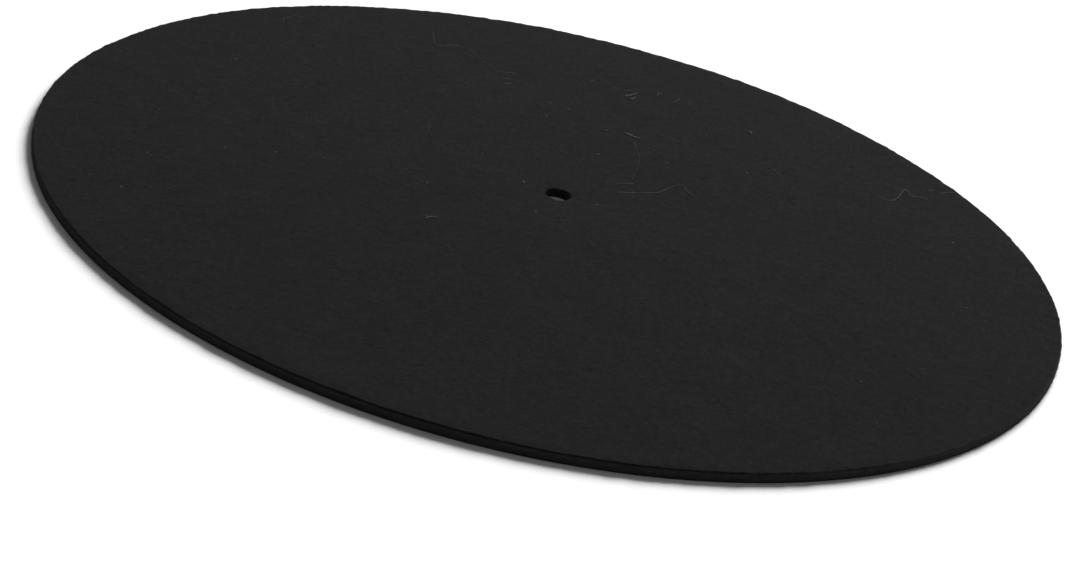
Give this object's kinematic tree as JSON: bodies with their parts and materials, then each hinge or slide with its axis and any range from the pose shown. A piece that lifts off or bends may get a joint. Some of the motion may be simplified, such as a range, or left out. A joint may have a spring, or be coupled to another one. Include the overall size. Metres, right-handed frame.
{
  "type": "turntable platter mat",
  "caption": "Round black felt mat that lies on a record player's platter under the record, with a small centre hole that drops over the spindle.",
  "frame": {"origin": "centre of the spindle hole, on the underside that lies on the platter", "axes": "+Z along the spindle, up through the mat towards the record; X and Y lie in the platter's plane and are equal by symmetry"},
  "size_m": [0.295, 0.295, 0.0027],
  "materials": {
    "black_felt": "matt pressed felt with a short fuzzy nap"
  },
  "bodies": {
    "root": {"felt_mat": "black_felt"}
  },
  "joints": []
}
